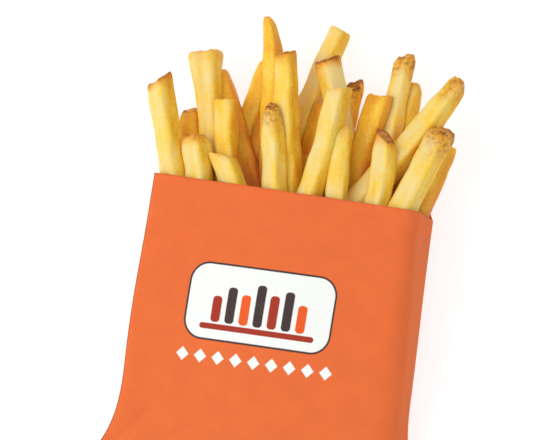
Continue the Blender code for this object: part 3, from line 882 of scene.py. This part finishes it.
def centre_point(fry, line, run, seed):
    """The middle of the fry at a distance from the rim, below zero inside the pouch."""
    inside = min(0.0, run)
    eased = inside + ROOT_EASE * (1.0 - math.exp(inside / ROOT_EASE))
    share = max(0.0, run / line.length)
    straight = line.rim + line.along * run
    point = straight + (Vector((0, 1, 0)) - line.along) * (ROOT_TURN * eased)
    point.z += (FILLED_DEPTH / MM / 2 - fry.rim_z) * ROOT_CLOSER * smooth_step(-run / ROOT)
    drift = noise.noise(Vector((seed, run / WANDER_LENGTH, 1.3)))
    drift *= smooth_step(abs(run) / WANDER_START)
    held = 1.0 - smooth_step(share * 1.2 - 0.2) * 0.7
    bent = fry.bow * 4 * share * (1 - share)
    return point + line.sideways * (bent + WANDER * drift * held)


# %% [markdown]
# Five values are kept at each point for the material: how golden the skin is there, how browned
# it is, how much peel it has, how much painted light off the orange paper reaches it, and a place
# that runs with the fry, so that streaks follow its length. The face that looks up is painted
# paler than the sides, and the fries deep in the heap are painted more golden: this is painted
# light and shade, for a fry lit from above and shaded low in the heap.

# %% Measures for shaping a fry
# Lengths are in millimetres.
GRID_CROWDING = 1.3            # above 1, the bar's cells are closer together at the tip
TWIST = 0.16                   # radians
TWIST_LENGTH = 30.0
GROOVE_AT = -0.4               # off the middle of the fry
GROOVE_HALF = 1.3
GROOVE_DEPTH = 0.75
GROOVE_REACH = 30.0            # it fades over this length, from 12 mm below the tip
NOTCH_HALF = 1.6               # the dip between two lobes
NOTCH_DEPTH = 0.8
SLANT_REACH = 9.0              # from the tip, the part that a slanting cut stretches
RAGGED_REACH = 3.5             # and the part that a torn end stretches
RAGGED_DEPTH = 1.6
TEAR_SIZE = 2.3
FIBRE_SIZE = 1.2
FIBRE_SHARE = 0.35
BROWN_LENGTH = 5.5             # over which a browned tip fades
PEEL_STRETCH = 2.2             # a peel end stays brown this many times as far
BROWN_RIM = 1.5                # width of the brown rim round a knife cut
PATCH_SIZE = 5.0               # patches of paler and deeper gold
PATCH_LENGTH = 11.0
SIDE_SHADE_GOLD = 0.40               # painted shade: what a side face has over the top face
PATCH_GOLD = 0.26
CROWD_SHADE_GOLD = 0.15            # painted shade: what a fry low in the heap has over the front ones
DEEP_FROM = 22.0               # height over the table below which a fry lies deep, where painted shade and the paper's painted light begin
DEEP_OVER = 9.0
LIGHT_REACH = 18.0             # the paper's light dies out this far past the rim
CROWD_REACH = 50.0             # and the heap's painted shade reaches about this far past it


def torn(across, up, seed):
    """Unevenness of a torn end, from about -1 to 1, at a place on it in millimetres."""
    tears = noise.noise(Vector((across / TEAR_SIZE + seed, up / TEAR_SIZE, 0.5)))
    fibres = noise.noise(Vector((across / FIBRE_SIZE + seed, up / FIBRE_SIZE, 4.5)))
    return tears + FIBRE_SHARE * fibres


# %% Shape one fry and keep its tones
def add_fry(fry, seed, target):
    """Bends a copy of the bar into one fry and adds it to the layer's mesh."""
    end = ENDS[fry.end]
    line = centre_line(fry)
    mesh = bar.copy()
    gold_layer = mesh.verts.layers.float.new("gold")
    brown_layer = mesh.verts.layers.float.new("browned")
    peel_layer = mesh.verts.layers.float.new("peel")
    paper_layer = mesh.verts.layers.float.new("paper_light")
    grain_layer = mesh.verts.layers.float_vector.new("grain")
    turn = math.radians(fry.roll)
    brown_reach = BROWN_LENGTH * (PEEL_STRETCH if end.skin else 1.0)
    lost = fry.across - fry.tip_across
    for vertex in mesh.verts:
        unit = vertex.co.copy()
        from_tip = (line.length + ROOT) * (1.0 - unit.y) ** GRID_CROWDING
        run = line.length - from_tip
        share = max(0.0, run / line.length)
        across = fry.across - lost * share ** (TAPER_POWER + 2 * abs(end.lean))
        side = side_length(across, fry.roll)
        skin, edge = section_point(unit.x, unit.z, side, seed, run)
        near_end = max(0.0, 1.0 - from_tip / end.round_length)
        skin *= 1.0 - end.shrink * near_end ** 2
        if end.groove:
            depth = end.groove * math.exp(-((skin.x - GROOVE_AT) / GROOVE_HALF) ** 2)
            depth *= smooth_step(1.4 - from_tip / GROOVE_REACH)
            skin.y -= GROOVE_DEPTH * depth * (1.0 if skin.y > 0 else -0.6)
        twist = turn + TWIST * noise.noise(Vector((seed, run / TWIST_LENGTH, 5.0)))
        part_across = skin.x * math.cos(twist) - skin.y * math.sin(twist)
        part_up = skin.x * math.sin(twist) + skin.y * math.cos(twist)
        close = max(0.0, 1.0 - from_tip / SLANT_REACH) ** 2
        closer = max(0.0, 1.0 - from_tip / RAGGED_REACH)
        shift = (fry.slant * part_across - fry.bevel * part_up) / across * close
        rough = torn(part_across, part_up, seed)
        shift += end.ragged * RAGGED_DEPTH * rough * closer
        notch = end.groove * math.exp(-(part_across / NOTCH_HALF) ** 2)
        shift -= NOTCH_DEPTH * notch * closer
        if unit.y > 1.0 - 1e-6:
            shift -= end.sunken * (1.0 - edge ** 2)
        centre = centre_point(fry, line, run, seed)
        centre -= line.sideways * (end.lean * (across - fry.across + lost * share) / 2)
        place = centre + line.sideways * part_across + line.upwards * part_up
        vertex.co = (place + line.along * shift) * MM
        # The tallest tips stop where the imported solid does.
        vertex.co.y = min(vertex.co.y, cad_high[1])
        vertex.co.z = min(vertex.co.z, cad_high[2])

        grown = Vector((skin.x / PATCH_SIZE + seed, run / PATCH_LENGTH, skin.y / PATCH_SIZE))
        patch = noise.noise(grown)
        # Painted light and shade: the face that looks up is painted paler, the side faces more
        # golden.
        tilt = (skin.y - abs(skin.x)) / side
        painted_top_light = smooth_step(tilt / 0.70 + 0.55 + 0.35 * patch)
        # Painted shade low in the heap near the rim, and the mask for the paper's painted light.
        painted_depth_mask = smooth_step((DEEP_FROM - vertex.co.z / MM) / DEEP_OVER)
        past_rim = (vertex.co.y - RIM_Y) / MM
        crowd_shade = painted_depth_mask * smooth_step(1.2 - past_rim / CROWD_REACH)
        gold = fry.gold + SIDE_SHADE_GOLD * (1.0 - painted_top_light)
        vertex[gold_layer] = gold + PATCH_GOLD * patch + CROWD_SHADE_GOLD * crowd_shade
        vertex[paper_layer] = painted_depth_mask * smooth_step(1.0 - past_rim / LIGHT_REACH)
        tip_brown = smooth_step(1.0 - from_tip / brown_reach + 0.35 * patch)
        rim_brown = smooth_step(1.0 - from_tip / BROWN_RIM) * smooth_step((edge - 0.60) / 0.35)
        toast = 0.62 * tip_brown * (1.0 + 0.7 * rough) + 0.75 * rim_brown * (0.7 + 0.8 * rough)
        vertex[brown_layer] = fry.browned * toast
        vertex[peel_layer] = end.skin * fry.browned * tip_brown
        vertex[grain_layer] = (skin.x + 40 * seed, run / 3, skin.y)
    loose = bpy.data.meshes.new("loose_fry")
    mesh.to_mesh(loose)
    mesh.free()
    target.from_mesh(loose)
    bpy.data.meshes.remove(loose)


# %% [markdown]
# ## Fried potato
# A fry has a thin dry crust of fried starch over a soft white inside. Light goes a little way
# in, so the pale faces glow, and a film of oil gives a soft gloss. Its colour runs from cream
# over yellow gold to amber, and to brown at the tips and corners. Streaks follow its length and
# small blisters cover the crust. Where peel was left on, it has brown patches with dark cracks.
#
# Down in the mouth, light comes to the fries through and off the orange paper. Bounced light
# alone shows too little of that in such narrow gaps, so its colour is mixed into the crust, as
# the last step and only low in the heap.

# %% Colours and sizes of the crust
CREAM = "#edd893"
YELLOW_GOLD = "#f6cd46"
DEEP_GOLD = "#f0b62b"
AMBER = "#e2942e"
TOASTED = "#e39c28"
FRIED_BROWN = "#9a5510"
DARK_BROWN = "#7c4413"
PAPER_GLOW = "#e66a42"         # light that the orange paper throws on the fries in the mouth
PAPER_GLOW_SHARE = 0.70        # how much of it the deepest ones take on
DEEPEST = 1.3                  # the gold value at which the tone reaches amber
STREAK_SIZE = 3.4              # millimetres across; three times as long along the fry
MOTTLE_SIZE = 1.2              # millimetres
SPECKLE_SIZE = 1.0             # spots in the browned parts
BLISTER_SIZE = 0.8
BLISTER_DEPTH = 0.12 * MM
STREAK_DEPTH = 0.35 * MM
CRACK_SIZE = 1.5               # from one crack of the peel to the next
RUST_SIZE = 1.6                # brown patches of the peel
RUST_SHARE = 0.55              # how dark they are, beside the cracks
STREAK_GOLD = 0.26             # how much a streak adds to the gold value, or takes off
MOTTLE_GOLD = 0.15


# %% Layers of colour on the crust
def kept_value(tree, name):
    """A value that add_fry kept at each point, by its name."""
    return add_node(tree, "Attribute", attribute_name=name).outputs["Fac"]


def golden(tree, streaks, mottle):
    """The crust's colour before browning, from the kept gold value with its painted shade, streaks
    and mottling.
    """
    streaked = {0: streaks, 1: 0.3, 2: 0.7, 3: -STREAK_GOLD, 4: STREAK_GOLD}
    spread = add_node(tree, "MapRange", streaked).outputs[0]
    mottled = {0: mottle, 1: 0.3, 2: 0.7, 3: -MOTTLE_GOLD, 4: MOTTLE_GOLD}
    fine = add_node(tree, "MapRange", mottled).outputs[0]
    gold = kept_value(tree, "gold")
    toned = add_node(tree, "Math", {0: gold, 1: spread}, operation="ADD").outputs[0]
    toned = add_node(tree, "Math", {0: toned, 1: fine}, operation="ADD").outputs[0]
    share = add_node(tree, "Math", {0: toned, 1: DEEPEST}, operation="DIVIDE").outputs[0]
    crust = add_node(tree, "ValToRGB", {0: share})
    ramp = crust.color_ramp
    ramp.elements[0].position = 0.02
    ramp.elements[0].color = srgb(CREAM)
    ramp.elements[1].position = 1.0
    ramp.elements[1].color = srgb(AMBER)
    for value, tone in ((0.55, YELLOW_GOLD), (0.85, DEEP_GOLD)):
        ramp.elements.new(value / DEEPEST).color = srgb(tone)
    return crust.outputs[0]


def browned_over(tree, crust, even):
    """Toasted gold and then fried brown over the crust, where a tip or a rim is browned."""
    browned = kept_value(tree, "browned")
    speckle = add_node(tree, "TexNoise", {"Vector": even, "Scale": 1 / SPECKLE_SIZE, "Detail": 2.0})
    speckled = {0: speckle.outputs["Fac"], 1: 0.35, 2: 0.65, 3: -0.25, 4: 0.25}
    browning = add_node(tree, "MapRange", speckled).outputs[0]
    scaled = add_node(tree, "Math", {0: browning, 1: browned}, operation="MULTIPLY").outputs[0]
    summed = {0: browned, 1: scaled}
    amount = add_node(tree, "Math", summed, operation="ADD", use_clamp=True).outputs[0]
    first = add_node(tree, "MapRange", {0: amount, 1: 0.0, 2: 0.5, 3: 0.0, 4: 1.0}).outputs[0]
    layers = {0: first, MIX_A: crust, MIX_B: srgb(TOASTED)}
    toasted = add_node(tree, "Mix", layers, data_type="RGBA").outputs[MIX_RESULT]
    second = add_node(tree, "MapRange", {0: amount, 1: 0.45, 2: 1.0, 3: 0.0, 4: 1.0}).outputs[0]
    layers = {0: second, MIX_A: toasted, MIX_B: srgb(FRIED_BROWN)}
    return add_node(tree, "Mix", layers, data_type="RGBA").outputs[MIX_RESULT]


def peel_over(tree, under, bent):
    """Brown patches of peel, with dark cracks in them, where a fry has peel left on."""
    broken_up = {"Vector": bent, "Scale": 1 / CRACK_SIZE}
    cells = add_node(tree, "TexVoronoi", broken_up, feature="DISTANCE_TO_EDGE")
    to_crack = {0: cells.outputs["Distance"], 1: 0.0, 2: 0.12, 3: 0.8, 4: 0.0}
    crack = add_node(tree, "MapRange", to_crack).outputs[0]
    rust = add_node(tree, "TexNoise", {"Vector": bent, "Scale": 1 / RUST_SIZE, "Detail": 3.0})
    rusty = {0: rust.outputs["Fac"], 1: 0.46, 2: 0.62, 3: 0.0, 4: 1.0}
    patches = add_node(tree, "MapRange", rusty).outputs[0]
    broken = add_node(tree, "Math", {0: crack, 1: patches}, operation="MULTIPLY").outputs[0]
    marks = add_node(tree, "Math", {0: patches, 1: RUST_SHARE}, operation="MULTIPLY").outputs[0]
    marks = add_node(tree, "Math", {0: marks, 1: broken}, operation="ADD").outputs[0]
    shown = {0: marks, 1: kept_value(tree, "peel")}
    flecks = add_node(tree, "Math", shown, operation="MULTIPLY").outputs[0]
    layers = {0: flecks, MIX_A: under, MIX_B: srgb(DARK_BROWN)}
    return add_node(tree, "Mix", layers, data_type="RGBA").outputs[MIX_RESULT]


def paper_light_over(tree, under):
    """The orange paper's light on the fries that lie deep in the mouth."""
    near_paper = {0: kept_value(tree, "paper_light"), 1: PAPER_GLOW_SHARE}
    tint = add_node(tree, "Math", near_paper, operation="MULTIPLY").outputs[0]
    layers = {0: tint, MIX_A: under, MIX_B: srgb(PAPER_GLOW)}
    return add_node(tree, "Mix", layers, data_type="RGBA").outputs[MIX_RESULT]


# %% Fried potato crust
def fried_potato():
    """The crust, with its colour, blisters and gloss."""
    surface, tree, shader = new_material("fried_potato_crust")
    grain = add_node(tree, "Attribute", attribute_name="grain").outputs["Vector"]
    full_length = {0: grain, 1: (1.0, 3.0, 1.0)}
    even = add_node(tree, "VectorMath", full_length, operation="MULTIPLY").outputs[0]
    streaks = add_node(tree, "TexNoise", {"Vector": grain, "Scale": 1 / STREAK_SIZE, "Detail": 4.0})
    mottle = add_node(tree, "TexNoise", {"Vector": even, "Scale": 1 / MOTTLE_SIZE, "Detail": 4.0})
    bent = add_node(tree, "VectorMath", {0: mottle.outputs["Color"], 1: even}, operation="ADD")
    colour = golden(tree, streaks.outputs["Fac"], mottle.outputs["Fac"])
    colour = browned_over(tree, colour, even)
    colour = peel_over(tree, colour, bent.outputs[0])
    colour = paper_light_over(tree, colour)
    tree.links.new(colour, shader.inputs["Base Color"])

    blisters = add_node(tree, "TexNoise", {"Vector": even, "Scale": 1 / BLISTER_SIZE, "Detail": 3.0})
    raised = {"Strength": 0.5, "Distance": BLISTER_DEPTH, "Height": blisters.outputs["Fac"]}
    skin = add_node(tree, "Bump", raised)
    ribbed = {"Strength": 0.6, "Distance": STREAK_DEPTH, "Height": streaks.outputs["Fac"]}
    wide = add_node(tree, "Bump", {**ribbed, "Normal": skin.outputs[0]})
    tree.links.new(wide.outputs[0], shader.inputs["Normal"])
    gloss = add_node(tree, "MapRange", {0: mottle.outputs["Fac"], 1: 0.3, 2: 0.7, 3: 0.42, 4: 0.58})
    tree.links.new(gloss.outputs[0], shader.inputs["Roughness"])
    shader.inputs["IOR"].default_value = 1.45
    shader.inputs["Specular IOR Level"].default_value = 0.30
    shader.inputs["Subsurface Weight"].default_value = 0.50
    shader.inputs["Subsurface Radius"].default_value = (1.0, 0.70, 0.20)
    shader.inputs["Subsurface Scale"].default_value = 2.2 * MM
    shader.inputs["Coat Weight"].default_value = 0.06
    shader.inputs["Coat Roughness"].default_value = 0.3
    return surface


crust = fried_potato()
print("crust material:", len(crust.node_tree.nodes), "nodes")

# %% Make the four layers
SEED_STEP = 3.7                # each fry reads the noise at a place of its own
number = 0
for layer, rows in LAYERS.items():
    layer_mesh = bmesh.new()
    for fry in rows:
        number += 1
        add_fry(fry, SEED_STEP * number, layer_mesh)
    piece = finish_piece(layer_mesh, layer, crust)
    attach(piece, "root")
    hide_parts("fries")
bar.free()

# %% [markdown]
# ## The fries deep in the pouch
# Further down the pouch is packed full, and nobody can look there. One body fills it, with the
# form of the solid's own core, and its top lies deep enough to stay in the dark.

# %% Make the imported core
CORE_INSET = 1.9 * MM          # clear of the paper on all sides
CORE_START = 13.0 * MM         # from the bottom crease
CORE_END = 72.0 * MM
CORE_ROWS = 16
mesh = bmesh.new()
bmesh.ops.create_grid(mesh, x_segments=2 * PANEL_CELLS, y_segments=CORE_ROWS, size=0.5)
heights = [CORE_START + (CORE_END - CORE_START) * r / CORE_ROWS for r in range(CORE_ROWS + 1)]
insets = [CORE_INSET] * (2 * PANEL_CELLS)
core_rows = [moved_inwards(ring_points(height), insets) for height in heights]
for vertex in mesh.verts:
    column = round((vertex.co.x + 0.5) * 2 * PANEL_CELLS) % (2 * PANEL_CELLS)
    row = round((vertex.co.y + 0.5) * CORE_ROWS)
    at = core_rows[row][column]
    vertex.co = (at.x, CREASE_Y + heights[row], at.y)
bmesh.ops.remove_doubles(mesh, verts=mesh.verts, dist=MERGE_WITHIN)
bmesh.ops.holes_fill(mesh, edges=mesh.edges)
bmesh.ops.recalc_face_normals(mesh, faces=mesh.faces)
core = finish_piece(mesh, "potato_core", crust)
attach(core, "root")
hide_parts("fries")
